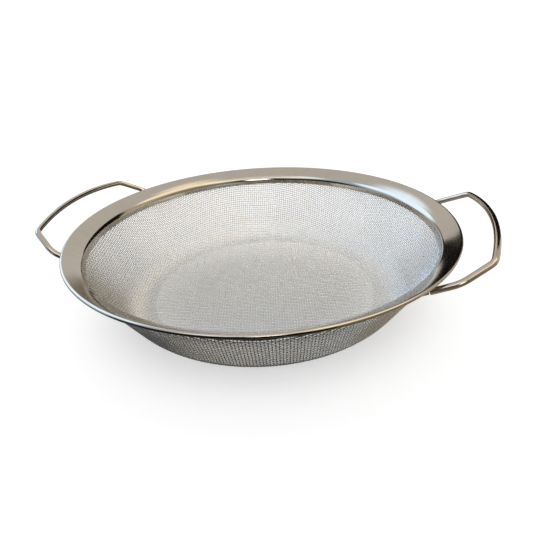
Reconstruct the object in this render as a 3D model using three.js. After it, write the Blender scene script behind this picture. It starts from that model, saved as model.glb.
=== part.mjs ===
// A flat-bottom sieve: a bowl of wire cloth round the collar of a flanged rim, its edge turned out and
// clamped under the flange by a ring, with two bent-wire handles on lugs below the ring.
// Millimetres, +Z up. The origin is the centre of the flat base, on the surface that it stands on.
// The handles reach out along +X and -X.

import * as THREE from 'three';

const degrees = THREE.MathUtils.degToRad;

// Rim: sheet metal, rolled into a bead outside and turned down into a collar inside
const RIM_OUTER_RADIUS = 130;
const RIM_HEIGHT = 54.7;
const RIM_SHEET = 0.8;
const BEAD_DIAMETER = 2.2;
const FLANGE_WIDTH = 12;
const FLANGE_SLOPE = degrees(30.5);
const LIP_BEND_RADIUS = 5.5;
const COLLAR_LENGTH = 5.4;
const COLLAR_SLOPE = degrees(82);

// Bowl: wire cloth, two wires thick, pressed to a flat base with a round corner
const CLOTH_THICKNESS = 1;
const WALL_SLOPE = degrees(58);
const BASE_CORNER_RADIUS = 28;
const HEM_WIDTH = 4;

// Openings: a plain grid of them through the cloth, in place of its fine meshes. From the hub outwards, and
// round it, an opening of some cells is followed by a rib of one cell.
const HUB_RADIUS = 5;
const OPENING_CELLS = 2;
const BASE_OPENINGS = 3;
const CORNER_OPENINGS = 1;
const WALL_OPENINGS = 1;

// Clamp ring: a band under the turned-out edge of the cloth
const RING_SHEET = 0.8;
const RING_WIDTH = 5;

// Handles: round wire, two feet, two corners and a bowed bar
const HANDLE_WIRE = 3.8;
const HANDLE_BEAD_GAP = 2.9;
const FOOT_HALF_SPAN = 61;
const FOOT_REACH = 10.3;
const FOOT_TILT = degrees(23);
const LOOP_TILT = degrees(30);
const SHOULDER_REACH = 18.2;
const SHOULDER_BEND = 5;
const CORNER_HALF_SPAN = 52;
const CORNER_BEND = 3.2;
const BAR_BOW = 7.4;

// Lugs: gussets under the ring, one between the cloth and each cut end of a handle
const LUG_THICKNESS = 3;
const LUG_LENGTH = 3.6;
const LUG_SET_UP = 1;

// Clearances between pieces that are clamped or welded together
const FIT_CLEARANCE = 0.2;
const WELD_GAP = 0.3;

// Facets
const ROUND_SEGMENTS = 72;
const BEAD_STEPS = 12;
const LIP_STEPS = 4;
const WIRE_SIDES = 10;
const WIRE_STEPS = 76;

// Sections lie in the half plane of radius and height.

/** A straight run of a section, through a point and climbing outwards at a slope. */
function run(point, slope) {
  return { point, along: new THREE.Vector2(Math.cos(slope), Math.sin(slope)) };
}

/** The same run moved square to itself, outwards and down, or the other way if negative. */
function under({ point, along }, distance) {
  const outwards = new THREE.Vector2(along.y, -along.x);
  return { point: point.clone().addScaledVector(outwards, distance), along };
}

/** The point at a distance along a run from its own point. */
function reach({ point, along }, distance) {
  return point.clone().addScaledVector(along, distance);
}

/** The point where two runs cross. */
function meet(first, second) {
  const between = second.point.clone().sub(first.point);
  return reach(first, between.cross(second.along) / first.along.cross(second.along));
}

/** The height of a run at a radius. */
function heightAt({ point, along }, radius) {
  return point.y + ((radius - point.x) * along.y) / along.x;
}

/** Points on a round stretch of a section, both ends included. */
function arc(centre, radius, from, to, steps) {
  return Array.from({ length: steps + 1 }, (_, step) => {
    const angle = from + ((to - from) * step) / steps;
    return new THREE.Vector2(centre.x + radius * Math.cos(angle), centre.y + radius * Math.sin(angle));
  });
}

/** Points on a straight stretch of a section, both ends included. */
function line(from, to, steps) {
  return Array.from({ length: steps + 1 }, (_, step) => from.clone().lerp(to, step / steps));
}

/** A body of revolution about Z, from a section listed with its outside going up. */
function revolve(section) {
  return new THREE.LatheGeometry(section, ROUND_SEGMENTS).rotateX(Math.PI / 2);
}

function steel(color, roughness) {
  return new THREE.MeshStandardMaterial({ color, roughness, metalness: 1 });
}

function piece(name, geometry, material) {
  const mesh = new THREE.Mesh(geometry, material);
  mesh.name = name;
  return mesh;
}

// Runs that the rim, the cloth, the ring and the lugs share
const square = Math.PI / 2;
const gridStep = OPENING_CELLS + 1;
const beadRadius = BEAD_DIAMETER / 2;
const beadCentre = new THREE.Vector2(RIM_OUTER_RADIUS - beadRadius, RIM_HEIGHT - beadRadius);
const flangeTop = under(run(beadCentre, FLANGE_SLOPE), -beadRadius);
const lipCorner = reach(flangeTop, -FLANGE_WIDTH);
const collarInside = run(lipCorner, COLLAR_SLOPE);

const bendCentre = meet(under(flangeTop, LIP_BEND_RADIUS), under(collarInside, LIP_BEND_RADIUS));
const bendLength = LIP_BEND_RADIUS * Math.tan((COLLAR_SLOPE - FLANGE_SLOPE) / 2);
const flangeAngle = FLANGE_SLOPE + square;
const collarAngle = COLLAR_SLOPE + square;

// Depths below the faces of the flange and the collar, one sheet under the other
const clothInside = RIM_SHEET + FIT_CLEARANCE;
const clothOutside = clothInside + CLOTH_THICKNESS;
const ringInside = clothOutside + FIT_CLEARANCE;
const ringOutside = ringInside + RING_SHEET;
const lugSeat = ringOutside + FIT_CLEARANCE;

/** A point at a distance down the collar from the lip's corner, at a depth outwards from its face. */
function downCollar(distance, depth) {
  return reach(under(collarInside, depth), -distance);
}

/** A point at a distance out along the flange from the end of the lip's bend, at a depth below its face. */
function alongFlange(distance, depth) {
  return reach(under(flangeTop, depth), bendLength - FLANGE_WIDTH + distance);
}

/** Points round the lip's bend at a depth below its face, from the collar to the flange. */
function roundBend(depth) {
  return arc(bendCentre, LIP_BEND_RADIUS - depth, collarAngle, flangeAngle, LIP_STEPS);
}

function makeRim() {
  const curlStart = FLANGE_SLOPE + 2 * square - Math.asin((beadRadius - RIM_SHEET) / beadRadius);
  const curlEnd = FLANGE_SLOPE + 5 * square;
  const foot = downCollar(COLLAR_LENGTH, RIM_SHEET);
  const section = [
    foot,
    ...roundBend(RIM_SHEET),
    ...arc(beadCentre, beadRadius, curlStart, curlEnd, BEAD_STEPS),
    ...roundBend(0).reverse(),
    downCollar(COLLAR_LENGTH, 0),
    foot,
  ];
  return piece('rim', revolve(section), steel(0xb9b0a4, 0.22));
}

/** The azimuth of a knot of the grid: square rings of knots become round ones, evenly spaced. */
function knotAzimuth(across, along) {
  if (Math.abs(across) >= Math.abs(along)) {
    return (across < 0 ? Math.PI : 0) + ((square / 2) * along) / across;
  }
  return (along < 0 ? -square : square) - ((square / 2) * across) / along;
}

/** A closed skin with a grid of openings. The faces list points from the hub out, and the hem joins their ends. */
function latticeSkin(outside, inside, hem) {
  const cells = 2 * outside.length - 1;
  const isOpen = (column, row) => column % gridStep > 0 && row % gridStep > 0;
  const points = [];
  const triangles = [];
  const corner = ({ x, y }, azimuth) =>
    points.push(new THREE.Vector3(x * Math.cos(azimuth), x * Math.sin(azimuth), y)) - 1;
  const quad = (a, b, c, d) => triangles.push(a, b, c, a, c, d);

  const knots = Array.from({ length: cells + 1 }, (_, column) =>
    Array.from({ length: cells + 1 }, (_, row) => {
      const across = 2 * column - cells;
      const along = 2 * row - cells;
      const ring = (Math.max(Math.abs(across), Math.abs(along)) - 1) / 2;
      const azimuth = knotAzimuth(across, along);
      return { azimuth, outer: corner(outside[ring], azimuth), inner: corner(inside[ring], azimuth) };
    }),
  );

  for (let column = 0; column < cells; column += 1) {
    for (let row = 0; row < cells; row += 1) {
      const [a, b] = [knots[column][row], knots[column + 1][row]];
      const [c, d] = [knots[column + 1][row + 1], knots[column][row + 1]];
      if (!isOpen(column, row)) {
        quad(a.inner, b.inner, c.inner, d.inner);
        quad(a.outer, d.outer, c.outer, b.outer);
        continue;
      }
      const wall = (from, to) => quad(from.inner, to.inner, to.outer, from.outer);
      if (!isOpen(column, row - 1)) wall(a, b);
      if (!isOpen(column + 1, row)) wall(b, c);
      if (!isOpen(column, row + 1)) wall(c, d);
      if (!isOpen(column - 1, row)) wall(d, a);
    }
  }

  const steps = Array.from({ length: cells }, (_, step) => step);
  const edge = [
    ...steps.map((step) => knots[cells][step]),
    ...steps.map((step) => knots[cells - step][cells]),
    ...steps.map((step) => knots[0][cells - step]),
    ...steps.map((step) => knots[step][0]),
  ];
  const rounds = [
    edge.map(({ outer }) => outer),
    ...hem.map((point) => edge.map(({ azimuth }) => corner(point, azimuth))),
    edge.map(({ inner }) => inner),
  ];
  for (let round = 1; round < rounds.length; round += 1) {
    const [low, high] = [rounds[round - 1], rounds[round]];
    for (let here = 0; here < edge.length; here += 1) {
      const next = (here + 1) % edge.length;
      quad(low[here], low[next], high[next], high[here]);
    }
  }

  const geometry = new THREE.BufferGeometry().setFromPoints(points).setIndex(triangles);
  geometry.computeVertexNormals();
  return geometry;
}

function makeMeshBowl() {
  const wallInside = run(downCollar(COLLAR_LENGTH + FIT_CLEARANCE, clothInside), WALL_SLOPE);
  const wallOutside = under(wallInside, CLOTH_THICKNESS);
  const cornerLevel = run(new THREE.Vector2(0, BASE_CORNER_RADIUS), 0);
  const cornerCentre = meet(under(wallOutside, -BASE_CORNER_RADIUS), cornerLevel);
  const cornerTop = WALL_SLOPE - square;
  const face = (level, cornerRadius, top) => {
    const round = arc(cornerCentre, cornerRadius, -square, cornerTop, gridStep * CORNER_OPENINGS);
    const hub = new THREE.Vector2(HUB_RADIUS, level);
    const base = line(hub, round[0], gridStep * BASE_OPENINGS);
    const wall = line(round.at(-1), top, gridStep * WALL_OPENINGS);
    return [...base, ...round.slice(1), ...wall.slice(1)];
  };
  const elbow = meet(under(collarInside, clothOutside), wallOutside);
  const outside = face(0, BASE_CORNER_RADIUS, elbow);
  const inside = face(CLOTH_THICKNESS, BASE_CORNER_RADIUS - CLOTH_THICKNESS, wallInside.point);
  const hem = [
    ...roundBend(clothOutside),
    alongFlange(HEM_WIDTH, clothOutside),
    alongFlange(HEM_WIDTH, clothInside),
    ...roundBend(clothInside).reverse(),
  ];
  return piece('mesh_bowl', latticeSkin(outside, inside, hem), steel(0xc9c9c6, 0.35));
}

function makeClampRing() {
  const start = alongFlange(0, ringOutside);
  const section = [
    start,
    alongFlange(RING_WIDTH, ringOutside),
    alongFlange(RING_WIDTH, ringInside),
    alongFlange(0, ringInside),
    start,
  ];
  return piece('clamp_ring', revolve(section), steel(0x9c978a, 0.3));
}

// The foot of a handle, in the upright plane along X through it. It passes under the bead.
const wireRadius = HANDLE_WIRE / 2;
const underBead = new THREE.Vector2(
  Math.sqrt(beadCentre.x ** 2 - FOOT_HALF_SPAN ** 2),
  beadCentre.y - beadRadius - HANDLE_BEAD_GAP - wireRadius / Math.cos(FOOT_TILT),
);
const footLine = run(underBead, FOOT_TILT);

// The lug fills the corner between the cloth, the ring and the wire's end
const lugNearSide = FOOT_HALF_SPAN - LUG_THICKNESS / 2;
const lugBack = Math.sqrt((downCollar(bendLength, clothOutside).x + FIT_CLEARANCE) ** 2 - lugNearSide ** 2);
const lugFace = lugBack + LUG_LENGTH;

function makeLug(name, offset, azimuth) {
  const seat = under(flangeTop, lugSeat);
  const sole = under(footLine, wireRadius - LUG_SET_UP);
  const top = (x) => new THREE.Vector2(x, heightAt(seat, Math.hypot(x, lugNearSide)));
  const foot = (x) => new THREE.Vector2(x, heightAt(sole, x));
  const section = new THREE.Shape([foot(lugBack), foot(lugFace), top(lugFace), top(lugBack)]);
  const geometry = new THREE.ExtrudeGeometry(section, { depth: LUG_THICKNESS, bevelEnabled: false });
  geometry.translate(0, 0, -LUG_THICKNESS / 2).rotateX(square).translate(0, offset, 0);
  const lug = piece(name, geometry, steel(0x8f8b7c, 0.35));
  lug.rotation.z = azimuth;
  return lug;
}

/** The centre line of a handle that reaches out along +X. */
function handlePath() {
  const upright = (x, height) => new THREE.Vector3(x, FOOT_HALF_SPAN, height);
  const endReach = lugFace + WELD_GAP + wireRadius * Math.sin(FOOT_TILT);
  const bend = reach(footLine, FOOT_REACH);
  const end = upright(endReach, heightAt(footLine, endReach));
  const kink = upright(bend.x, bend.y);
  const loopAlong = new THREE.Vector3(Math.cos(LOOP_TILT), 0, Math.sin(LOOP_TILT));
  const corner = kink.clone().addScaledVector(loopAlong, SHOULDER_REACH).setY(CORNER_HALF_SPAN);
  const crown = corner.clone().addScaledVector(loopAlong, 2 * BAR_BOW).setY(0);

  const towards = (from, to, distance) => to.clone().sub(from).setLength(distance).add(from);
  const kinkIn = towards(kink, end, SHOULDER_BEND);
  const kinkOut = towards(kink, corner, SHOULDER_BEND);
  const cornerIn = towards(corner, kink, CORNER_BEND);
  const cornerOut = towards(corner, crown, CORNER_BEND);
  const mirror = (point) => point.clone().setY(-point.y);

  const path = new THREE.CurvePath();
  path.add(new THREE.LineCurve3(end, kinkIn));
  path.add(new THREE.QuadraticBezierCurve3(kinkIn, kink, kinkOut));
  path.add(new THREE.LineCurve3(kinkOut, cornerIn));
  path.add(new THREE.QuadraticBezierCurve3(cornerIn, corner, cornerOut));
  path.add(new THREE.QuadraticBezierCurve3(cornerOut, crown, mirror(cornerOut)));
  path.add(new THREE.QuadraticBezierCurve3(mirror(cornerOut), mirror(corner), mirror(cornerIn)));
  path.add(new THREE.LineCurve3(mirror(cornerIn), mirror(kinkOut)));
  path.add(new THREE.QuadraticBezierCurve3(mirror(kinkOut), mirror(kink), mirror(kinkIn)));
  path.add(new THREE.LineCurve3(mirror(kinkIn), mirror(end)));
  return path;
}

function makeHandle(name, azimuth) {
  const ring = Array.from({ length: WIRE_SIDES }, (_, side) => {
    const angle = (2 * Math.PI * side) / WIRE_SIDES;
    return new THREE.Vector2(wireRadius * Math.cos(angle), wireRadius * Math.sin(angle));
  });
  const geometry = new THREE.ExtrudeGeometry(new THREE.Shape(ring), {
    steps: WIRE_STEPS,
    extrudePath: handlePath(),
  });
  const handle = piece(name, geometry, steel(0xc8bda8, 0.2));
  handle.rotation.z = azimuth;
  return handle;
}

const sieve = new THREE.Group();
sieve.name = 'flat_bottom_sieve';
sieve.add(makeMeshBowl(), makeRim(), makeClampRing());
for (const [side, azimuth] of [['right', 0], ['left', Math.PI]]) {
  sieve.add(makeHandle(`handle_${side}`, azimuth));
  for (const [end, front] of [['front', -1], ['back', 1]]) {
    const across = side === 'right' ? front : -front;
    sieve.add(makeLug(`lug_${side}_${end}`, across * FOOT_HALF_SPAN, azimuth));
  }
}

export default sieve;
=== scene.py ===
"""Looks of a flat-bottom sieve: woven wire bowl, spun steel rim, clamp ring, wire handles and lugs.

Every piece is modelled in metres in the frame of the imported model. Sizes are written in millimetres
and turned into metres where a mesh is made.
"""

import logging
import math
from dataclasses import dataclass, field
from enum import Enum
from itertools import product
from typing import ClassVar

import bpy
import numpy as np
from mathutils import Matrix, Vector

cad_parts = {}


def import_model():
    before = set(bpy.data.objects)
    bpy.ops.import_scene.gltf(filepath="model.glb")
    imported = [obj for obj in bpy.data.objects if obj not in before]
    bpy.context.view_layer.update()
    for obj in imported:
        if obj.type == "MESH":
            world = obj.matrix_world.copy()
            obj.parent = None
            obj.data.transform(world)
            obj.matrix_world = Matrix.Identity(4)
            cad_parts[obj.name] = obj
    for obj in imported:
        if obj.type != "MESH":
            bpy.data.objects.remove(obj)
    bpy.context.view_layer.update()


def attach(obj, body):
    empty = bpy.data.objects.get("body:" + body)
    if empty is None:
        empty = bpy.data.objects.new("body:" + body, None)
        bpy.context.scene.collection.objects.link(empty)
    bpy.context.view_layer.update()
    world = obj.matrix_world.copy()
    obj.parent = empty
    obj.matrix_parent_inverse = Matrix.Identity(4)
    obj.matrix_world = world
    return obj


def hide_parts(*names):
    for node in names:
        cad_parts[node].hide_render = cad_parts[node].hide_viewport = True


LOG = logging.getLogger("sieve")
MM = 0.001

Point = tuple[float, float]
Place = tuple[float, float, float]
Colour = tuple[float, float, float]
Strand = tuple[np.ndarray, np.ndarray]


class Slot(Enum):
    """Material slots of the record."""

    CLOTH = "cloth_steel"
    RIM = "rim_steel"
    RING = "ring_steel"
    HANDLE = "handle_steel"
    LUG = "lug_steel"


class Side(Enum):
    """The two handle sides, by the turn about Z from +X."""

    RIGHT = 0.0
    LEFT = math.pi


class End(Enum):
    """The two ends of a handle, by their place along Y."""

    FRONT = -1.0
    BACK = 1.0


@dataclass(frozen=True)
class Run:
    """A straight run of a section in the half plane of radius and height.

    Attributes:
        point: A point on the run, in millimetres.
        slope: Climb of the run outwards, in radians.
    """

    point: Point
    slope: float

    def reach(self, distance: float) -> Point:
        """Gives the point at a distance along the run."""
        x, z = self.point
        return (x + distance * math.cos(self.slope), z + distance * math.sin(self.slope))

    def under(self, distance: float) -> "Run":
        """Gives the same run moved square to itself, outwards and down."""
        x, z = self.point
        moved = (x + distance * math.sin(self.slope), z - distance * math.cos(self.slope))
        return Run(moved, self.slope)

    def meet(self, other: "Run") -> Point:
        """Finds where two runs cross.

        Args:
            other: The run that crosses this one.

        Returns:
            The crossing point, in millimetres.
        """
        dx = other.point[0] - self.point[0]
        dz = other.point[1] - self.point[1]
        turn = math.sin(other.slope - self.slope)
        along = (dx * math.sin(other.slope) - dz * math.cos(other.slope)) / turn
        return self.reach(along)

    def height_at(self, radius: float) -> float:
        """Gives the height of the run at a radius."""
        return self.point[1] + (radius - self.point[0]) * math.tan(self.slope)


def arc(centre: Point, radius: float, start: float, stop: float, steps: int) -> list[Point]:
    """Lists points on a round stretch of a section, both ends included.

    Args:
        centre: Centre of the stretch, in millimetres.
        radius: Radius of the stretch.
        start: First angle, in radians.
        stop: Last angle, in radians.
        steps: Number of equal steps.

    Returns:
        The points in order.
    """
    angles = np.linspace(start, stop, steps + 1)
    return [(centre[0] + radius * math.cos(a), centre[1] + radius * math.sin(a)) for a in angles]


@dataclass(frozen=True)
class SeamSizes:
    """Sizes that the rim, the cloth, the ring and the lugs share, in millimetres."""

    rim_radius: float = 130.0
    rim_height: float = 54.7
    rim_sheet: float = 0.8
    bead_diameter: float = 2.2
    flange_width: float = 12.0
    flange_slope: float = math.radians(30.5)
    lip_bend: float = 5.5
    collar_length: float = 5.4
    collar_slope: float = math.radians(82.0)
    cloth_thickness: float = 1.0
    wall_slope: float = math.radians(58.0)
    base_corner: float = 28.0
    hem_width: float = 4.0
    ring_sheet: float = 0.8
    ring_width: float = 5.0
    clearance: float = 0.2

    @property
    def bead_radius(self) -> float:
        """Gives the radius of the rolled bead."""
        return self.bead_diameter / 2

    @property
    def bead_centre(self) -> Point:
        """Gives the centre of the rolled bead."""
        return (self.rim_radius - self.bead_radius, self.rim_height - self.bead_radius)

    @property
    def flange_top(self) -> Run:
        """Gives the upper face of the flange."""
        return Run(self.bead_centre, self.flange_slope).under(-self.bead_radius)

    @property
    def collar_inside(self) -> Run:
        """Gives the inner face of the collar, from the lip's corner."""
        return Run(self.flange_top.reach(-self.flange_width), self.collar_slope)

    @property
    def bend_centre(self) -> Point:
        """Gives the centre of the lip's bend."""
        return self.flange_top.under(self.lip_bend).meet(self.collar_inside.under(self.lip_bend))

    @property
    def bend_length(self) -> float:
        """Gives the length from the lip's corner to either end of its bend."""
        return self.lip_bend * math.tan((self.collar_slope - self.flange_slope) / 2)

    @property
    def cloth_middle(self) -> float:
        """Gives the depth of the middle of the cloth below the rim's faces."""
        return self.rim_sheet + self.clearance + self.cloth_thickness / 2

    @property
    def ring_inside(self) -> float:
        """Gives the depth of the ring's upper face below the rim's faces."""
        return self.rim_sheet + 2 * self.clearance + self.cloth_thickness

    @property
    def ring_outside(self) -> float:
        """Gives the depth of the ring's lower face below the rim's faces."""
        return self.ring_inside + self.ring_sheet

    def down_collar(self, distance: float, depth: float) -> Point:
        """Gives a point down the collar from the lip's corner, at a depth from its inner face."""
        return self.collar_inside.under(depth).reach(-distance)

    def along_flange(self, distance: float, depth: float) -> Point:
        """Gives a point out along the flange from the lip's bend, at a depth below its face."""
        return self.flange_top.under(depth).reach(self.bend_length - self.flange_width + distance)

    def round_bend(self, depth: float, steps: int) -> list[Point]:
        """Lists points round the lip's bend at a depth below its face, from collar to flange.

        Args:
            depth: Depth below the face, in millimetres.
            steps: Number of equal steps.

        Returns:
            The points in order.
        """
        start = self.collar_slope + math.pi / 2
        stop = self.flange_slope + math.pi / 2
        return arc(self.bend_centre, self.lip_bend - depth, start, stop, steps)


class Shop:
    """Work that the pieces share: selecting, spinning, smoothing and handing over."""

    SPIN_GAP: ClassVar[float] = 0.00001
    SPUN_SHARP: ClassVar[float] = 35.0

    @staticmethod
    def clear() -> None:
        """Leaves edit mode and deselects everything."""
        if bpy.context.mode != "OBJECT":
            bpy.ops.object.mode_set(mode="OBJECT")
        bpy.ops.object.select_all(action="DESELECT")

    @staticmethod
    def edit_all() -> None:
        """Enters edit mode with the whole mesh selected."""
        bpy.ops.object.mode_set(mode="EDIT")
        bpy.ops.mesh.select_all(action="SELECT")

    @staticmethod
    def close_up(gap: float) -> None:
        """Merges points of the edited mesh that lie within a gap in metres, and turns its faces out.

        Args:
            gap: Greatest distance between points that are merged.
        """
        bpy.ops.mesh.select_all(action="SELECT")
        bpy.ops.mesh.remove_doubles(threshold=gap)
        bpy.ops.mesh.normals_make_consistent(inside=False)

    @staticmethod
    def smooth(sharp: float) -> None:
        """Leaves edit mode and shades smooth, apart from edges over a number of degrees."""
        bpy.ops.object.mode_set(mode="OBJECT")
        bpy.ops.object.shade_smooth_by_angle(angle=math.radians(sharp))

    @staticmethod
    def closed_section(points: list[Point]) -> bpy.types.Object:
        """Makes a closed wire section in the XZ plane.

        Args:
            points: The section's points in order, in millimetres.

        Returns:
            The new object, selected and active.
        """
        Shop.clear()
        bpy.ops.mesh.primitive_circle_add(vertices=len(points), radius=1.0, fill_type="NOTHING")
        shape = bpy.context.object
        for corner, (radius, height) in zip(shape.data.vertices, points):
            corner.co = (radius * MM, 0.0, height * MM)
        return shape

    @staticmethod
    def spun(name: str, points: list[Point], steps: int) -> bpy.types.Object:
        """Spins a closed section about Z into a solid ring.

        Args:
            name: Name of the piece.
            points: The section's points in order, in millimetres.
            steps: Number of steps round the circle.

        Returns:
            The ring, smooth shaded.
        """
        ring = Shop.closed_section(points)
        Shop.edit_all()
        bpy.ops.mesh.spin(steps=steps, angle=2 * math.pi, center=(0, 0, 0), axis=(0, 0, 1))
        Shop.close_up(Shop.SPIN_GAP)
        Shop.smooth(Shop.SPUN_SHARP)
        ring.name = name
        return ring

    @staticmethod
    def hand_over(piece: bpy.types.Object, slot: Slot, finish: bpy.types.Material, *nodes: str) -> None:
        """Dresses a piece and lets it stand for its CAD nodes.

        Args:
            piece: The finished piece.
            slot: The record's slot of its finish. Not used.
            finish: The material that it gets.
            nodes: The CAD nodes that it stands for.
        """
        piece.data.materials.clear()
        piece.data.materials.append(finish)
        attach(piece, "root")
        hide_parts(*nodes)
        LOG.info("%s: %d faces", piece.name, len(piece.data.polygons))


class Nodes:
    """A small hand for laying out shader nodes in a tree."""

    NOISE_ROUGHNESS: ClassVar[float] = 0.6

    def __init__(self, tree: bpy.types.NodeTree) -> None:
        """Keeps the tree that nodes go into."""
        self.tree = tree

    def add(self, kind: str, **settings: object) -> bpy.types.Node:
        """Adds a node and sets its properties.

        Args:
            kind: The node's type name.
            settings: Properties of the node, by name.

        Returns:
            The new node.
        """
        node = self.tree.nodes.new(kind)
        for name, value in settings.items():
            setattr(node, name, value)
        return node

    def feed(self, socket: bpy.types.NodeSocket, source: object) -> None:
        """Links a socket to another node's output, or sets its plain value.

        Args:
            socket: The input that is fed.
            source: The output or the value.
        """
        if isinstance(source, bpy.types.NodeSocket):
            self.tree.links.new(source, socket)
        else:
            socket.default_value = source

    def fed(self, kind: str, sources: tuple[object, ...], **settings: object) -> bpy.types.Node:
        """Adds a node and feeds its inputs in order.

        Args:
            kind: The node's type name.
            sources: Outputs or values for its first inputs.
            settings: Properties of the node, by name.

        Returns:
            The new node.
        """
        node = self.add(kind, **settings)
        for socket, source in zip(node.inputs, sources):
            self.feed(socket, source)
        return node

    def math(self, operation: str, *sources: object, clamp: bool = False) -> bpy.types.NodeSocket:
        """Adds a math node.

        Args:
            operation: Name of the operation.
            sources: Outputs or numbers for its inputs, in order.
            clamp: Whether the result is kept between 0 and 1.

        Returns:
            The result.
        """
        return self.fed("ShaderNodeMath", sources, operation=operation, use_clamp=clamp).outputs[0]

    def vector(self, operation: str, *sources: object, out: str = "Vector") -> bpy.types.NodeSocket:
        """Adds a vector math node.

        Args:
            operation: Name of the operation.
            sources: Outputs or vectors for its inputs, in order.
            out: Name of the output that is used.

        Returns:
            The result.
        """
        return self.fed("ShaderNodeVectorMath", sources, operation=operation).outputs[out]

    def span(self, value: object, low: float, high: float, start: float, stop: float) -> bpy.types.NodeSocket:
        """Maps a range onto another with soft ends.

        Args:
            value: The output that is mapped.
            low: Value that gives start.
            high: Value that gives stop.
            start: Result at the low end.
            stop: Result at the high end.

        Returns:
            The mapped value.
        """
        sources = (value, low, high, start, stop)
        return self.fed("ShaderNodeMapRange", sources, interpolation_type="SMOOTHSTEP").outputs[0]

    def mix(self, factor: object, first: object, second: object) -> bpy.types.NodeSocket:
        """Mixes two colours.

        Args:
            factor: Share of the second colour.
            first: Output or colour.
            second: Output or colour.

        Returns:
            The mixed colour.
        """
        node = self.add("ShaderNodeMix", data_type="RGBA")
        self.feed(node.inputs[0], factor)
        for socket, source in zip((node.inputs[6], node.inputs[7]), (first, second)):
            self.feed(socket, (*source, 1.0) if isinstance(source, tuple) else source)
        return node.outputs[2]

    def noise(self, where: object, scale: float, detail: float) -> bpy.types.NodeSocket:
        """Adds a noise texture.

        Args:
            where: Coordinates of the texture.
            scale: Scale of the noise.
            detail: Octaves of the noise.

        Returns:
            The noise value.
        """
        node = self.add("ShaderNodeTexNoise")
        self.feed(node.inputs["Vector"], where)
        node.inputs["Scale"].default_value = scale
        node.inputs["Detail"].default_value = detail
        node.inputs["Roughness"].default_value = self.NOISE_ROUGHNESS
        return node.outputs[0]

    def object_place(self) -> bpy.types.NodeSocket:
        """Gives the Object coordinates of the piece."""
        return self.add("ShaderNodeTexCoord").outputs["Object"]


class EffectGroups:
    """Shader node groups that more than one finish uses."""

    LINE_WANDER: ClassVar[float] = 3.0
    LINE_DETAIL: ClassVar[float] = 3.0
    PULL_RUN: ClassVar[float] = 60.0
    PULL_DETAIL: ClassVar[float] = 4.0
    SMUDGE_SCALE: ClassVar[float] = 38.0
    SMUDGE_DETAIL: ClassVar[float] = 4.0
    PIT_DETAIL: ClassVar[float] = 2.0

    @staticmethod
    def new(name: str, inputs: dict[str, float], outputs: tuple[str, ...]) -> tuple[Nodes, dict, dict]:
        """Starts a node group.

        Args:
            name: Name of the group.
            inputs: Number inputs and their values.
            outputs: Names of its number outputs.

        Returns:
            The node hand, the input sockets and the output sockets, by name.
        """
        tree = bpy.data.node_groups.new(name, "ShaderNodeTree")
        for label, value in inputs.items():
            socket = tree.interface.new_socket(label, in_out="INPUT", socket_type="NodeSocketFloat")
            socket.default_value = value
        for label in outputs:
            tree.interface.new_socket(label, in_out="OUTPUT", socket_type="NodeSocketFloat")
        hand = Nodes(tree)
        entry = hand.add("NodeGroupInput")
        leave = hand.add("NodeGroupOutput")
        given = {label: entry.outputs[label] for label in inputs}
        wanted = {label: leave.inputs[label] for label in outputs}
        return hand, given, wanted

    @classmethod
    def spun_lines(cls) -> bpy.types.NodeTree:
        """Makes the group of fine lines that run round a spun part, with faint radial pulls.

        Returns:
            The group, with outputs Lines, Pulls and Smudges between 0 and 1.
        """
        hand, given, wanted = cls.new(
            "spun_lines", {"Line Scale": 9000.0, "Pull Count": 26.0}, ("Lines", "Pulls", "Smudges")
        )
        place = hand.object_place()
        parts = hand.fed("ShaderNodeSeparateXYZ", (place,))
        flat = hand.vector("MULTIPLY", place, (1.0, 1.0, 0.0))
        radius = hand.vector("LENGTH", flat, out="Value")
        angle = hand.math("ARCTAN2", parts.outputs["Y"], parts.outputs["X"])
        cosine = hand.math("COSINE", angle)
        sine = hand.math("SINE", angle)
        line_scale, pull_count = given["Line Scale"], given["Pull Count"]
        ring = ((radius, line_scale), (parts.outputs["Z"], line_scale), (cosine, cls.LINE_WANDER))
        heading = ((cosine, pull_count), (sine, pull_count), (radius, cls.PULL_RUN))
        for label, axes, detail in (("Lines", ring, cls.LINE_DETAIL), ("Pulls", heading, cls.PULL_DETAIL)):
            scaled = tuple(hand.math("MULTIPLY", value, scale) for value, scale in axes)
            where = hand.fed("ShaderNodeCombineXYZ", scaled).outputs[0]
            hand.feed(wanted[label], hand.noise(where, 1.0, detail))
        hand.feed(wanted["Smudges"], hand.noise(place, cls.SMUDGE_SCALE, cls.SMUDGE_DETAIL))
        return hand.tree

    @classmethod
    def handling_marks(cls) -> bpy.types.NodeTree:
        """Makes the group of smudges and small pits that handled wire and plate show.

        Returns:
            The group, with outputs Smudges and Pits between 0 and 1.
        """
        hand, given, wanted = cls.new(
            "handling_marks", {"Smudge Scale": 60.0, "Pit Scale": 900.0}, ("Smudges", "Pits")
        )
        place = hand.object_place()
        smudges = ("Smudges", "Smudge Scale", cls.SMUDGE_DETAIL)
        pits = ("Pits", "Pit Scale", cls.PIT_DETAIL)
        for label, scale, detail in (smudges, pits):
            scaled = hand.vector("SCALE", place)
            hand.feed(scaled.node.inputs["Scale"], given[scale])
            hand.feed(wanted[label], hand.noise(scaled, 1.0, detail))
        return hand.tree


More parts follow.
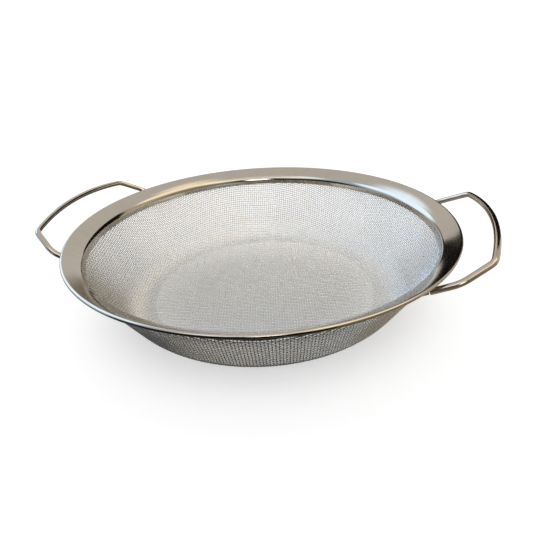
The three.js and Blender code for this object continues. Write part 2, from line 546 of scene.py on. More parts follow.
@dataclass(frozen=True)
class SteelFinish:
    """A steel finish.

    Attributes:
        name: Name of the material.
        light: Linear colour where the metal is clean.
        dark: Linear colour where it is smudged.
        smooth: Roughness where it is polished.
        rough: Roughness where it is worn.
        bump: Depth of the fine relief, in millimetres.
    """

    BUMP_STRENGTH: ClassVar[float] = 0.35
    PULL_SPAN: ClassVar[Point] = (0.42, 0.68)
    SMUDGE_SPAN: ClassVar[Point] = (0.4, 0.7)
    GRAIN_SPAN: ClassVar[Point] = (0.2, 0.8)
    PULL_SHARE: ClassVar[float] = 0.35
    SMUDGE_SHARE: ClassVar[float] = 0.5
    LINE_SHARE: ClassVar[float] = 0.5
    WOVEN_SMUDGE: ClassVar[float] = 0.1

    name: str
    light: Colour
    dark: Colour
    smooth: float
    rough: float
    bump: float

    def start(
        self, group: bpy.types.NodeTree
    ) -> tuple[Nodes, bpy.types.Material, bpy.types.Node, bpy.types.NodeOutputs]:
        """Makes the material with a metal shader and a group of marks.

        Args:
            group: The group of marks.

        Returns:
            The node hand, the material, its Principled shader and the marks' outputs.
        """
        finish = bpy.data.materials.new(self.name)
        finish.use_nodes = True
        hand = Nodes(finish.node_tree)
        shader = finish.node_tree.nodes["Principled BSDF"]
        shader.inputs["Metallic"].default_value = 1.0
        marks = hand.add("ShaderNodeGroup", node_tree=group).outputs
        return hand, finish, shader, marks

    def relief(self, hand: Nodes, shader: bpy.types.Node, height: bpy.types.NodeSocket) -> None:
        """Feeds a fine relief to the shader's normal.

        Args:
            hand: The node hand of the material.
            shader: Its Principled shader.
            height: The relief's height, from 0 to 1.
        """
        bump = hand.add("ShaderNodeBump")
        bump.inputs["Strength"].default_value = self.BUMP_STRENGTH
        bump.inputs["Distance"].default_value = self.bump * MM
        hand.feed(bump.inputs["Height"], height)
        hand.feed(shader.inputs["Normal"], bump.outputs[0])

    def spun(self, lines: bpy.types.NodeTree) -> bpy.types.Material:
        """Makes the finish of a spun part.

        Args:
            lines: The group of lines round a spun part.

        Returns:
            The material.
        """
        hand, finish, shader, marks = self.start(lines)
        pulls = hand.span(marks["Pulls"], *self.PULL_SPAN, 0.0, 1.0)
        smudges = hand.span(marks["Smudges"], *self.SMUDGE_SPAN, 0.0, 1.0)
        spots = hand.math("MULTIPLY", smudges, self.SMUDGE_SHARE)
        share = hand.math("MULTIPLY_ADD", pulls, self.PULL_SHARE, spots, clamp=True)
        hand.feed(shader.inputs["Base Color"], hand.mix(share, self.light, self.dark))
        grain = hand.math("MULTIPLY_ADD", marks["Lines"], self.LINE_SHARE, spots)
        hand.feed(shader.inputs["Roughness"], hand.span(grain, *self.GRAIN_SPAN, self.smooth, self.rough))
        self.relief(hand, shader, hand.math("MULTIPLY_ADD", marks["Lines"], self.LINE_SHARE, pulls))
        return finish

    def handled(self, marks_group: bpy.types.NodeTree) -> bpy.types.Material:
        """Makes the finish of handled wire or plate.

        Args:
            marks_group: The group of smudges and pits.

        Returns:
            The material.
        """
        hand, finish, shader, marks = self.start(marks_group)
        smudges = hand.span(marks["Smudges"], *self.SMUDGE_SPAN, 0.0, 1.0)
        hand.feed(shader.inputs["Base Color"], hand.mix(smudges, self.light, self.dark))
        hand.feed(shader.inputs["Roughness"], hand.span(smudges, 0.0, 1.0, self.smooth, self.rough))
        self.relief(hand, shader, marks["Pits"])
        return finish

    def woven(self, marks_group: bpy.types.NodeTree, attribute: str) -> bpy.types.Material:
        """Makes the finish of drawn wire in cloth, each wire with its own tone.

        Args:
            marks_group: The group of smudges and pits.
            attribute: Name of the mesh attribute that holds each wire's tone.

        Returns:
            The material.
        """
        hand, finish, shader, marks = self.start(marks_group)
        tone = hand.add("ShaderNodeAttribute", attribute_name=attribute).outputs["Fac"]
        smudges = hand.span(marks["Smudges"], *self.SMUDGE_SPAN, 0.0, self.WOVEN_SMUDGE)
        share = hand.math("ADD", tone, smudges, clamp=True)
        hand.feed(shader.inputs["Base Color"], hand.mix(share, self.light, self.dark))
        hand.feed(shader.inputs["Roughness"], hand.span(share, 0.0, 1.0, self.smooth, self.rough))
        self.relief(hand, shader, marks["Pits"])
        return finish


@dataclass
class SpunPiece:
    """A piece of sheet metal spun about Z from its section.

    Attributes:
        sizes: The shared sizes.
    """

    NAME: ClassVar[str]
    SLOT: ClassVar[Slot]
    NODE: ClassVar[str]
    STEPS: ClassVar[int]

    sizes: SeamSizes

    def section(self) -> list[Point]:
        """Lists the section's points in order, in millimetres."""
        raise NotImplementedError

    def build(self, finish: bpy.types.Material) -> None:
        """Builds and dresses the piece.

        Args:
            finish: Its material.
        """
        piece = Shop.spun(self.NAME, self.section(), self.STEPS)
        Shop.hand_over(piece, self.SLOT, finish, self.NODE)


@dataclass
class Rim(SpunPiece):
    """The spun steel rim: collar, rounded lip, flange and rolled bead.

    Attributes:
        bend_steps: Steps round the lip's bend.
        bead_steps: Steps round the rolled bead.
        foot_round: Softening of the collar's edge, in millimetres.
        seam_gape: Angle by which the roll stays open at its seam, in radians.
        seam_reach: Distance of the seam's mouth from the bead's centre, in bead radii.
        seam_depth: Depth of the seam, in millimetres.
        seam_sink: Step of the seam's floor into the sheet, in millimetres.
        crown: Height of the flange's arch, in millimetres.
        crown_steps: Steps across that arch.
    """

    NAME: ClassVar[str] = "spun_rim"
    SLOT: ClassVar[Slot] = Slot.RIM
    NODE: ClassVar[str] = "rim"
    STEPS: ClassVar[int] = 288

    bend_steps: int = 14
    bead_steps: int = 30
    foot_round: float = 0.25
    seam_gape: float = 0.12
    seam_reach: float = 1.02
    seam_depth: float = 0.3
    seam_sink: float = 0.02
    crown: float = 0.22
    crown_steps: int = 8

    def crowned_face(self) -> list[Point]:
        """Lists points in along the flange's upper face, which spinning leaves a little arched."""
        s = self.sizes
        straight = s.flange_width - s.bend_length
        shares = [step / self.crown_steps for step in range(1, self.crown_steps)]
        return [s.along_flange(straight * (1 - t), -4 * self.crown * t * (1 - t)) for t in shares]

    def section(self) -> list[Point]:
        """Lists the rim's section, with the open seam where the roll meets the flange.

        Returns:
            The points in order, in millimetres.
        """
        s = self.sizes
        sheet = s.rim_sheet
        slope = s.flange_slope
        curl_start = slope + math.pi - math.asin((s.bead_radius - sheet) / s.bead_radius) + self.seam_gape
        curl_stop = slope + 2.5 * math.pi
        mouth = -s.bead_radius * self.seam_reach
        seam_mouth = s.flange_top.under(sheet).reach(mouth)
        seam_floor = s.flange_top.under(sheet + self.seam_sink).reach(mouth + self.seam_depth)
        soft = self.foot_round
        return [
            s.down_collar(s.collar_length - soft, sheet),
            *s.round_bend(sheet, self.bend_steps),
            seam_mouth,
            seam_floor,
            *arc(s.bead_centre, s.bead_radius, curl_start, curl_stop, self.bead_steps),
            *self.crowned_face(),
            *reversed(s.round_bend(0.0, self.bend_steps)),
            s.down_collar(s.collar_length - soft, 0.0),
            s.down_collar(s.collar_length, soft),
            s.down_collar(s.collar_length, sheet - soft),
        ]


@dataclass
class ClampRing(SpunPiece):
    """The band under the flange that clamps the cloth's turned-out edge.

    Attributes:
        edge: Softening of its edges, in millimetres.
    """

    NAME: ClassVar[str] = "hem_ring"
    SLOT: ClassVar[Slot] = Slot.RING
    NODE: ClassVar[str] = "clamp_ring"
    STEPS: ClassVar[int] = 192

    edge: float = 0.2

    def section(self) -> list[Point]:
        """Lists the band's section with softened edges.

        Returns:
            The points in order, in millimetres.
        """
        s = self.sizes
        inner, outer, soft = s.ring_inside, s.ring_outside, self.edge
        return [
            s.along_flange(soft, outer),
            s.along_flange(s.ring_width / 2, outer),
            s.along_flange(s.ring_width - soft, outer),
            s.along_flange(s.ring_width, outer - soft),
            s.along_flange(s.ring_width, inner + soft),
            s.along_flange(s.ring_width - soft, inner),
            s.along_flange(soft, inner),
            s.along_flange(0.0, inner + soft),
            s.along_flange(0.0, outer - soft),
        ]


class BowlProfile:
    """The middle surface of the cloth, by length along it from the centre of the base."""

    TILT_STEP: ClassVar[float] = 0.4
    DRAPE_LENGTH: ClassVar[float] = 60.0

    def __init__(self, sizes: SeamSizes, samples: int = 60) -> None:
        """Lays out the profile.

        Args:
            sizes: The shared sizes.
            samples: Points on each round stretch.
        """
        s = sizes
        half = s.cloth_thickness / 2
        foot = Run(s.down_collar(s.collar_length + s.clearance, s.rim_sheet + s.clearance), s.wall_slope)
        wall = foot.under(half)
        hem = s.collar_inside.under(s.cloth_middle)
        level = Run((0.0, s.base_corner), 0.0)
        corner = wall.under(half).under(-s.base_corner).meet(level)
        bowl = arc(corner, s.base_corner - half, -math.pi / 2, s.wall_slope - math.pi / 2, samples)
        elbow = wall.meet(hem)
        real = [(0.0, half), *bowl, elbow, *s.round_bend(s.cloth_middle, samples)]
        real.append(s.along_flange(s.hem_width, s.cloth_middle))
        self.real = self.measured(real)
        self.reach = float(self.real[1][-1])
        self.drape = self.measured([(0.0, half), *bowl, elbow, wall.reach(self.DRAPE_LENGTH)])

    @staticmethod
    def measured(profile: list[Point]) -> Strand:
        """Measures a profile.

        Args:
            profile: Its points in order, in millimetres.

        Returns:
            The points as an array, and the length along the profile at each of them.
        """
        points = np.array(profile)
        steps = np.linalg.norm(np.diff(points, axis=0), axis=1)
        return points, np.concatenate([[0.0], np.cumsum(steps)])

    @staticmethod
    def look_up(profile: Strand, at: np.ndarray) -> Strand:
        """Reads radius and height at lengths along a measured profile."""
        points, lengths = profile
        return np.interp(at, lengths, points[:, 0]), np.interp(at, lengths, points[:, 1])

    def place(self, at: np.ndarray, angle: np.ndarray) -> Strand:
        """Gives points of the cloth's middle surface and its upward normals.

        Args:
            at: Lengths from the centre, in millimetres.
            angle: Angles about Z, in radians.

        Returns:
            The points and the normals, one row each.
        """
        radius, height = self.look_up(self.real, at)
        ahead_r, ahead_z = self.look_up(self.real, at + self.TILT_STEP)
        behind_r, behind_z = self.look_up(self.real, at - self.TILT_STEP)
        tilt = np.arctan2(ahead_z - behind_z, ahead_r - behind_r)
        points = np.stack([radius * np.cos(angle), radius * np.sin(angle), height], axis=-1)
        lean = -np.sin(tilt)
        normals = np.stack([lean * np.cos(angle), lean * np.sin(angle), np.cos(tilt)], axis=-1)
        return points, normals

    def drape_place(self, at: np.ndarray, angle: np.ndarray) -> np.ndarray:
        """Gives points of the surface that the net is laid on, whose wall runs on straight."""
        radius, height = self.look_up(self.drape, at)
        return np.stack([radius * np.cos(angle), radius * np.sin(angle), height], axis=-1)


@dataclass
class WireCloth:
    """The bowl of plain-woven wire cloth, every wire a tube that goes over and under.

    Attributes:
        sizes: The shared sizes.
        pitch: Distance between crossings along a wire, in millimetres.
        wire: Wire diameter, in millimetres.
        lift: Height of a wire above or below the middle of the cloth at a crossing, in millimetres.
        turn: Turn of the weave about Z, in radians.
        sides: Sides of a wire's section.
        spare_wires: Wires laid past the cloth's edge in a quarter of the net.
        settle_rounds: Rounds in which the net's crossings settle.
        nudge: Length by which the surface's direction is felt, in millimetres.
        longest_step: Greatest move of a crossing along the profile in a round, in millimetres.
        widest_turn: Greatest move of a crossing about Z in a round, in radians.
        uv_margin: Share of a wire's strip of the UV map that is left free.
        uv_width: Share of the strip that its sides take.
        tone_name: Name of the attribute that holds each wire's tone.
        tones: Tones of even and odd wires, for both directions of the weave.
        tone_spread: Greatest drift of a wire's tone.
        seed: Seed of that drift.
        profile: The surface that the cloth follows.
    """

    sizes: SeamSizes
    pitch: float = 1.8
    wire: float = 0.6
    lift: float = 0.15
    turn: float = math.radians(15.0)
    sides: int = 5
    spare_wires: int = 3
    settle_rounds: int = 14
    nudge: float = 1e-4
    longest_step: float = 0.6
    widest_turn: float = 0.03
    uv_margin: float = 0.1
    uv_width: float = 0.8
    tone_name: str = "wire_tone"
    tones: tuple[Point, Point] = ((0.15, 0.15), (0.02, 0.34))
    tone_spread: float = 0.03
    seed: int = 7
    profile: BowlProfile = field(init=False)

    def __post_init__(self) -> None:
        """Lays out the surface that the cloth follows."""
        self.profile = BowlProfile(self.sizes)

    def net(self) -> Strand:
        """Lays a net of equal meshes over a quarter of the bowl.

        Each crossing lies one pitch from the crossing before it on both of its wires.

        Returns:
            Lengths from the centre and angles of the crossings, by both wires' numbers.
        """
        place = self.profile.drape_place
        drape, drape_lengths = self.profile.drape
        climb = drape.sum(axis=1)
        count = int(self.profile.reach / self.pitch) + self.spare_wires
        at = np.full((count, count), np.nan)
        angle = np.full((count, count), np.nan)
        steps = np.arange(count) * self.pitch
        at[:, 0] = steps
        angle[:, 0] = 0.0
        at[0, :] = steps
        angle[0, :] = math.pi / 2
        angle[0, 0] = 0.0
        for diagonal in range(2, 2 * count - 1):
            rows = np.arange(max(1, diagonal - count + 1), min(count, diagonal))
            columns = diagonal - rows
            first = place(at[rows - 1, columns], angle[rows - 1, columns])
            second = place(at[rows, columns - 1], angle[rows, columns - 1])
            before = place(at[rows - 1, columns - 1], angle[rows - 1, columns - 1])
            guess = first + second - before
            where = np.arctan2(guess[:, 1], guess[:, 0])
            radius = np.hypot(guess[:, 0], guess[:, 1])
            length = np.interp(radius + guess[:, 2], climb, drape_lengths)
            at[rows, columns], angle[rows, columns] = self.settle(length, where, first, second)
        return at, angle

    def settle(
        self, length: np.ndarray, where: np.ndarray, first: np.ndarray, second: np.ndarray
    ) -> Strand:
        """Moves crossings until each lies one pitch from its two neighbours.

        Args:
            length: First guess of the lengths from the centre.
            where: First guess of the angles.
            first: Neighbours on one wire.
            second: Neighbours on the other wire.

        Returns:
            The settled lengths and angles.
        """
        step, turn = self.longest_step, self.widest_turn
        for _ in range(self.settle_rounds):
            here = self.profile.drape_place(length, where)
            along = (self.profile.drape_place(length + self.nudge, where) - here) / self.nudge
            round_z = np.stack([-here[:, 1], here[:, 0], np.zeros(len(here))], axis=-1)
            to_first = here - first
            to_second = here - second
            miss_first = (to_first**2).sum(axis=1) - self.pitch**2
            miss_second = (to_second**2).sum(axis=1) - self.pitch**2
            a = 2 * (to_first * along).sum(axis=1)
            b = 2 * (to_first * round_z).sum(axis=1)
            c = 2 * (to_second * along).sum(axis=1)
            d = 2 * (to_second * round_z).sum(axis=1)
            whole = a * d - b * c
            length = length - np.clip((d * miss_first - b * miss_second) / whole, -step, step)
            where = where - np.clip((a * miss_second - c * miss_first) / whole, -turn, turn)
        return length, where

    def whole_net(self) -> Strand:
        """Mirrors the quarter net into the whole bowl.

        Returns:
            Lengths and angles of all crossings, by both wires' numbers.
        """
        at, angle = self.net()
        upper_at = np.concatenate([at[:0:-1], at])
        upper_angle = np.concatenate([math.pi - angle[:0:-1], angle])
        whole_at = np.concatenate([upper_at[:, :0:-1], upper_at], axis=1)
        whole_angle = np.concatenate([-upper_angle[:, :0:-1], upper_angle], axis=1)
        return whole_at, whole_angle

    @staticmethod
    def strands(points: np.ndarray, normals: np.ndarray, inside: np.ndarray) -> list[Strand]:
        """Lists the wires along the rows of the net, each cut off where the cloth ends.

        Args:
            points: Points of the wires, row by row.
            normals: Normals of the cloth at those points.
            inside: Which of the points are on the cloth.

        Returns:
            Each wire's points and normals.
        """
        rows = [row for row in range(len(inside)) if inside[row].sum() > 2]
        return [(points[row][inside[row]], normals[row][inside[row]]) for row in rows]

    def wires(self) -> tuple[list[Strand], list[Strand]]:
        """Runs every wire through its crossings, over one and under the next.

        Returns:
            For both directions of the weave, each wire's points and normals in millimetres.
        """
        at, angle = self.whole_net()
        points, normals = self.profile.place(np.nan_to_num(at), np.nan_to_num(angle) + self.turn)
        inside = np.isfinite(at) & (at <= self.profile.reach)
        numbers = np.arange(len(at))
        over = np.where((numbers[:, None] + numbers[None, :]) % 2 == 0, 1.0, -1.0) * self.lift
        lifted = points + normals * over[..., None]
        sunk = points - normals * over[..., None]
        warp = self.strands(lifted, normals, inside)
        weft = self.strands(sunk.swapaxes(0, 1), normals.swapaxes(0, 1), inside.T)
        return warp, weft

    def tube(self, points: np.ndarray, normals: np.ndarray) -> np.ndarray:
        """Puts a ring of points round a wire at each crossing.

        Args:
            points: Points along the wire.
            normals: Normals of the cloth at those points.

        Returns:
            The rings' points, in metres, ring by ring.
        """
        tangent = np.gradient(points, axis=0)
        tangent /= np.linalg.norm(tangent, axis=1)[:, None]
        across = np.cross(tangent, normals)
        across /= np.linalg.norm(across, axis=1)[:, None]
        upwards = np.cross(across, tangent)
        angles = np.arange(self.sides) * 2 * math.pi / self.sides
        cosines = np.cos(angles)[None, :, None]
        sines = np.sin(angles)[None, :, None]
        ring = cosines * across[:, None] + sines * upwards[:, None]
        return (points[:, None] + self.wire / 2 * ring) * MM

    def strip(self, number: int, total: int, count: int) -> list[np.ndarray]:
        """Lays a wire's faces out as a strip of the UV map, its sides first and then its ends.

        Args:
            number: Number of the wire in its piece.
            total: Number of wires in the piece.
            count: Number of rings along the wire.

        Returns:
            The corners' places in the map, face by face.
        """
        turn = np.arange(self.sides)
        here = np.broadcast_to(np.arange(count - 1)[:, None] / count, (count - 1, self.sides))
        rise = (number + self.uv_margin + self.uv_width * turn / self.sides) / total
        low = np.broadcast_to(rise, here.shape)
        high = low + self.uv_width / self.sides / total
        ahead = here + 1 / count
        sides = np.stack([here, low, here, high, ahead, high, ahead, low], axis=-1)
        end = (number + self.uv_margin + self.uv_margin * turn) / total
        caps = [np.stack([np.full(self.sides, u), end], axis=-1) for u in (0.0, 1.0 - 1 / count)]
        return [sides.reshape(-1, 2), *caps]

    def strand_piece(self, name: str, wires: list[Strand], tones: np.ndarray) -> bpy.types.Object:
        """Makes one piece of many wires, each with closed ends, its tone and its strip of the UV map.

        Args:
            name: Name of the piece.
            wires: Points and normals of the wires.
            tones: Tone of each wire.

        Returns:
            The piece.
        """
        sides = self.sides
        corners, faces, uvs, shades = [], [], [], []
        offset = 0
        turn = np.arange(sides)
        after = (turn + 1) % sides
        for number, (points, normals) in enumerate(wires):
            rings = self.tube(points, normals)
            count = len(rings)
            start = offset + np.arange(count - 1)[:, None] * sides
            ahead = start + sides
            quads = np.stack([start + turn, start + after, ahead + after, ahead + turn], axis=-1)
            faces.extend(quads.reshape(-1, 4).tolist())
            faces.append(list(range(offset + sides - 1, offset - 1, -1)))
            offset += count * sides
            faces.append(list(range(offset - sides, offset)))
            corners.append(rings.reshape(-1, 3))
            uvs.extend(self.strip(number, len(wires), count))
            shades.append(np.full(count * sides, tones[number]))
        mesh = bpy.data.meshes.new(name)
        mesh.from_pydata(np.concatenate(corners), [], faces)
        sheet = mesh.uv_layers.new(name="OFBake")
        sheet.data.foreach_set("uv", np.concatenate(uvs).astype(np.float32).ravel())
        tone = mesh.attributes.new(self.tone_name, "FLOAT", "POINT")
        tone.data.foreach_set("value", np.concatenate(shades).astype(np.float32))
        mesh.polygons.foreach_set("use_smooth", np.ones(len(mesh.polygons), dtype=bool))
        mesh.update()
        piece = bpy.data.objects.new(name, mesh)
        bpy.context.scene.collection.objects.link(piece)
        return piece

    def build(self, finish: bpy.types.Material) -> None:
        """Builds and dresses the cloth, in four pieces of wires.

        Args:
            finish: The cloth's material.
        """
        chance = np.random.default_rng(self.seed)
        for way, tone, wires in zip(("warp", "weft"), self.tones, self.wires()):
            drift = chance.uniform(-self.tone_spread, self.tone_spread, len(wires))
            tones = np.where(np.arange(len(wires)) % 2 == 0, *tone) + drift
            middle = len(wires) // 2
            for half, part in (("a", slice(None, middle)), ("b", slice(middle, None))):
                piece = self.strand_piece(f"cloth_{way}_{half}", wires[part], tones[part])
                Shop.hand_over(piece, Slot.CLOTH, finish, "mesh_bowl")


@dataclass
class Handle:
    """A loop handle of bent round wire with two feet under the rim.

    Lengths are in millimetres and tilts in radians, apart from merge_gap in metres and sharp in degrees.

    Attributes:
        sizes: The shared sizes.
        side: The side that it is on.
    """

    sizes: SeamSizes
    side: Side
    wire: float = 3.8
    bead_gap: float = 2.9
    foot_half_span: float = 61.0
    foot_reach: float = 10.3
    foot_tilt: float = math.radians(23.0)
    loop_tilt: float = math.radians(30.0)
    shoulder_reach: float = 18.2
    shoulder_bend: float = 5.0
    corner_half_span: float = 52.0
    corner_bend: float = 3.2
    bar_bow: float = 7.4
    lug_thickness: float = 3.0
    lug_length: float = 3.6
    lug_set_up: float = 1.0
    weld_gap: float = 0.3
    end_round: float = 0.6
    end_segments: int = 4
    bend_steps: int = 12
    bar_steps: int = 48
    section_steps: int = 5
    side_corners: int = 4
    merge_gap: float = 0.000005
    sharp: float = 40.0

    @property
    def foot_line(self) -> Run:
        """Gives the middle of the foot, in the upright plane along X through it."""
        s = self.sizes
        x = math.sqrt(s.bead_centre[0] ** 2 - self.foot_half_span**2)
        drop = s.bead_radius + self.bead_gap + self.wire / 2 / math.cos(self.foot_tilt)
        return Run((x, s.bead_centre[1] - drop), self.foot_tilt)

    @property
    def lug_near_side(self) -> float:
        """Gives the lug's face nearest to the middle of the handle."""
        return self.foot_half_span - self.lug_thickness / 2

    @property
    def lug_back(self) -> float:
        """Gives where the lug starts, just outside the cloth."""
        s = self.sizes
        cloth = s.down_collar(s.bend_length, s.cloth_middle + s.cloth_thickness / 2)[0]
        return math.sqrt((cloth + s.clearance) ** 2 - self.lug_near_side**2)

    @property
    def wire_end(self) -> float:
        """Gives where the wire's middle line ends."""
        return self.lug_back + self.lug_length + self.weld_gap + self.wire / 2 * math.sin(self.foot_tilt)

    def control_points(self) -> list[Vector]:
        """Lists the foot's end, kink, corner and crown of one half.

        Returns:
            The four points, in millimetres.
        """
        bend = self.foot_line.reach(self.foot_reach)
        end = Vector((self.wire_end, self.foot_half_span, self.foot_line.height_at(self.wire_end)))
        kink = Vector((bend[0], self.foot_half_span, bend[1]))
        out = Vector((math.cos(self.loop_tilt), 0.0, math.sin(self.loop_tilt)))
        corner = kink + out * self.shoulder_reach
        corner.y = self.corner_half_span
        crown = corner + out * 2 * self.bar_bow
        crown.y = 0.0
        return [end, kink, corner, crown]

    @staticmethod
    def bent(start: Vector, control: Vector, stop: Vector, steps: int) -> list[Vector]:
        """Lists points on a bend from start to stop, pulled towards control."""
        shares = [i / steps for i in range(steps + 1)]
        return [start * (1 - t) ** 2 + control * 2 * t * (1 - t) + stop * t * t for t in shares]

    def path(self) -> list[Vector]:
        """Lists the middle line of the wire from one foot to the other.

        Returns:
            The points in order, in millimetres, for a handle along +X.
        """
        end, kink, corner, crown = self.control_points()
        kink_in = kink + (end - kink).normalized() * self.shoulder_bend
        kink_out = kink + (corner - kink).normalized() * self.shoulder_bend
        corner_in = corner + (kink - corner).normalized() * self.corner_bend
        corner_out = corner + (crown - corner).normalized() * self.corner_bend
        far_out = Vector((corner_out.x, -corner_out.y, corner_out.z))
        shoulder = self.bent(kink_in, kink, kink_out, self.bend_steps)
        half = [end, *shoulder, *self.bent(corner_in, corner, corner_out, self.bend_steps)]
        bar = self.bent(corner_out, crown, far_out, self.bar_steps)[1:-1]
        mirrored = [Vector((p.x, -p.y, p.z)) for p in reversed(half)]
        return [*half, *bar, *mirrored]

    def build(self, finish: bpy.types.Material) -> None:
        """Bends the wire, rounds its cut ends and dresses it.

        Args:
            finish: The handle's material.
        """
        Shop.clear()
        bpy.ops.curve.primitive_nurbs_path_add(radius=1.0)
        shape = bpy.context.object
        shape.data.splines.clear()
        points = self.path()
        spline = shape.data.splines.new("POLY")
        spline.points.add(len(points) - 1)
        turn = Matrix.Rotation(self.side.value, 3, "Z")
        for knot, point in zip(spline.points, points):
            knot.co = (*(turn @ point * MM), 1.0)
        shape.data.dimensions = "3D"
        shape.data.twist_mode = "MINIMUM"
        shape.data.bevel_depth = self.wire / 2 * MM
        shape.data.bevel_resolution = self.section_steps
        shape.data.use_fill_caps = True
        bpy.ops.object.convert(target="MESH")
        wire = bpy.context.object
        wire.name = f"wire_handle_{self.side.name.lower()}"
        wire.data.name = wire.name
        self.round_ends(wire)
        Shop.hand_over(wire, Slot.HANDLE, finish, f"handle_{self.side.name.lower()}")

    def round_ends(self, wire: bpy.types.Object) -> None:
        """Rounds the edges of the wire's two cut ends, the faces with the most corners.

        Args:
            wire: The bent wire, active.
        """
        Shop.edit_all()
        Shop.close_up(self.merge_gap)
        bpy.ops.mesh.select_mode(type="FACE")
        bpy.ops.mesh.select_all(action="DESELECT")
        bpy.ops.object.mode_set(mode="OBJECT")
        for face in wire.data.polygons:
            face.select = len(face.vertices) > self.side_corners
        bpy.ops.object.mode_set(mode="EDIT")
        bpy.ops.mesh.region_to_loop()
        bpy.ops.mesh.bevel(offset=self.end_round * MM, segments=self.end_segments, affect="EDGES")
        Shop.smooth(self.sharp)


@dataclass
class Lug:
    """A gusset between the ring and the cut end of a handle, with its weld.

    Attributes:
        handle: The handle that it carries.
        end: The end of the handle that it is at.
        edge: Rounding of its edges, in millimetres.
        edge_segments: Steps round an edge.
        sharp: Angle over which an edge isn't smoothed, in degrees.
        weld_size: Radius of the weld's ring, in millimetres.
        weld_bead: Radius of the weld's bead, in millimetres.
        weld_lift: Height of the weld over the wire's middle line, in millimetres.
        weld_uneven: Unevenness of the weld, in millimetres.
        weld_seed: Seed of that unevenness.
        weld_steps: Steps round the weld's ring and round its bead.
    """

    handle: Handle
    end: End
    edge: float = 0.35
    edge_segments: int = 3
    sharp: float = 40.0
    weld_size: float = 1.15
    weld_bead: float = 0.45
    weld_lift: float = 0.1
    weld_uneven: float = 0.12
    weld_seed: int = 3
    weld_steps: tuple[int, int] = (28, 10)

    @property
    def across(self) -> float:
        """Gives the lug's place across the handle, before the turn to its side."""
        return self.end.value if self.handle.side is Side.RIGHT else -self.end.value

    def corners(self) -> list[Vector]:
        """Lists the eight corners of the gusset.

        Returns:
            The corners, in millimetres, for a handle along +X.
        """
        h = self.handle
        s = h.sizes
        seat = s.flange_top.under(s.ring_outside + s.clearance)
        sole = h.foot_line.under(h.wire / 2 - h.lug_set_up)
        places = []
        for x in (h.lug_back, h.lug_back + h.lug_length):
            top = seat.height_at(math.hypot(x, h.lug_near_side))
            for side in (-1.0, 1.0):
                y = self.across * h.foot_half_span + side * h.lug_thickness / 2
                places.append(Vector((x, y, sole.height_at(x))))
                places.append(Vector((x, y, top)))
        return places

    def build(self, finish: bpy.types.Material) -> None:
        """Builds the gusset and its weld and dresses them.

        Args:
            finish: The lug's material.
        """
        turn = Matrix.Rotation(self.handle.side.value, 3, "Z")
        Shop.clear()
        bpy.ops.mesh.primitive_cube_add(size=2.0)
        lug = bpy.context.object
        places = zip(product((-1, 1), repeat=3), self.corners())
        spots = {signs: turn @ place * MM for signs, place in places}
        for corner in lug.data.vertices:
            corner.co = spots[tuple(int(round(c)) for c in corner.co)]
        Shop.edit_all()
        bpy.ops.mesh.normals_make_consistent(inside=False)
        bpy.ops.mesh.bevel(offset=self.edge * MM, segments=self.edge_segments, affect="EDGES")
        bpy.ops.object.mode_set(mode="OBJECT")
        weld = self.weld(turn)
        Shop.clear()
        weld.select_set(True)
        lug.select_set(True)
        bpy.context.view_layer.objects.active = lug
        bpy.ops.object.join()
        Shop.smooth(self.sharp)
        name = f"{self.handle.side.name}_{self.end.name}".lower()
        lug.name = f"weld_lug_{name}"
        Shop.hand_over(lug, Slot.LUG, finish, f"lug_{name}")

    def weld(self, turn: Matrix) -> bpy.types.Object:
        """Makes the bead of weld between the gusset and the wire's end.

        Args:
            turn: Turn to the handle's side.

        Returns:
            The weld.
        """
        h = self.handle
        x = h.lug_back + h.lug_length
        place = Vector((x, self.across * h.foot_half_span, h.foot_line.height_at(x) + self.weld_lift))
        bpy.ops.mesh.primitive_torus_add(
            major_segments=self.weld_steps[0],
            minor_segments=self.weld_steps[1],
            major_radius=self.weld_size * MM,
            minor_radius=self.weld_bead * MM,
            location=turn @ place * MM,
            rotation=(0.0, math.pi / 2 - h.foot_tilt, h.side.value),
        )
        weld = bpy.context.object
        bpy.ops.object.transform_apply(location=True, rotation=True, scale=True)
        Shop.edit_all()
        bpy.ops.transform.vertex_random(offset=self.weld_uneven * MM, seed=self.weld_seed)
        bpy.ops.object.mode_set(mode="OBJECT")
        return weld


@dataclass(frozen=True)
class StudioPatch:
    """A soft-edged area of the studio that the steel mirrors.

    Attributes:
        azimuth: Direction about the object, in degrees from the right of the picture.
        elevation: Height above the horizon, in degrees.
        inner: Angle within which the patch is full, in degrees.
        outer: Angle beyond which it has faded out, in degrees.
        colour: Its linear colour.
    """

    azimuth: float
    elevation: float
    inner: float
    outer: float
    colour: Colour


@dataclass(frozen=True)
class Card:
    """A card that only the steel mirrors, as a photographer sets up round polished metal.

    Attributes:
        name: Name of the card.
        colour: Its linear colour.
    """

    name: str
    colour: Colour

    def dress(self, card: bpy.types.Object) -> bpy.types.Material:
        """Paints the card and hides it from all but mirrored rays.

        Args:
            card: The card's mesh object.

        Returns:
            Its paint.
        """
        card.name = self.name
        paint = bpy.data.materials.new(self.name)
        paint.use_nodes = True
        shader = paint.node_tree.nodes["Principled BSDF"]
        shader.inputs["Base Color"].default_value = (*self.colour, 1.0)
        shader.inputs["Specular IOR Level"].default_value = 0.0
        card.data.materials.append(paint)
        card.visible_camera = False
        card.visible_diffuse = False
        card.visible_transmission = False
        card.visible_shadow = False
        return paint


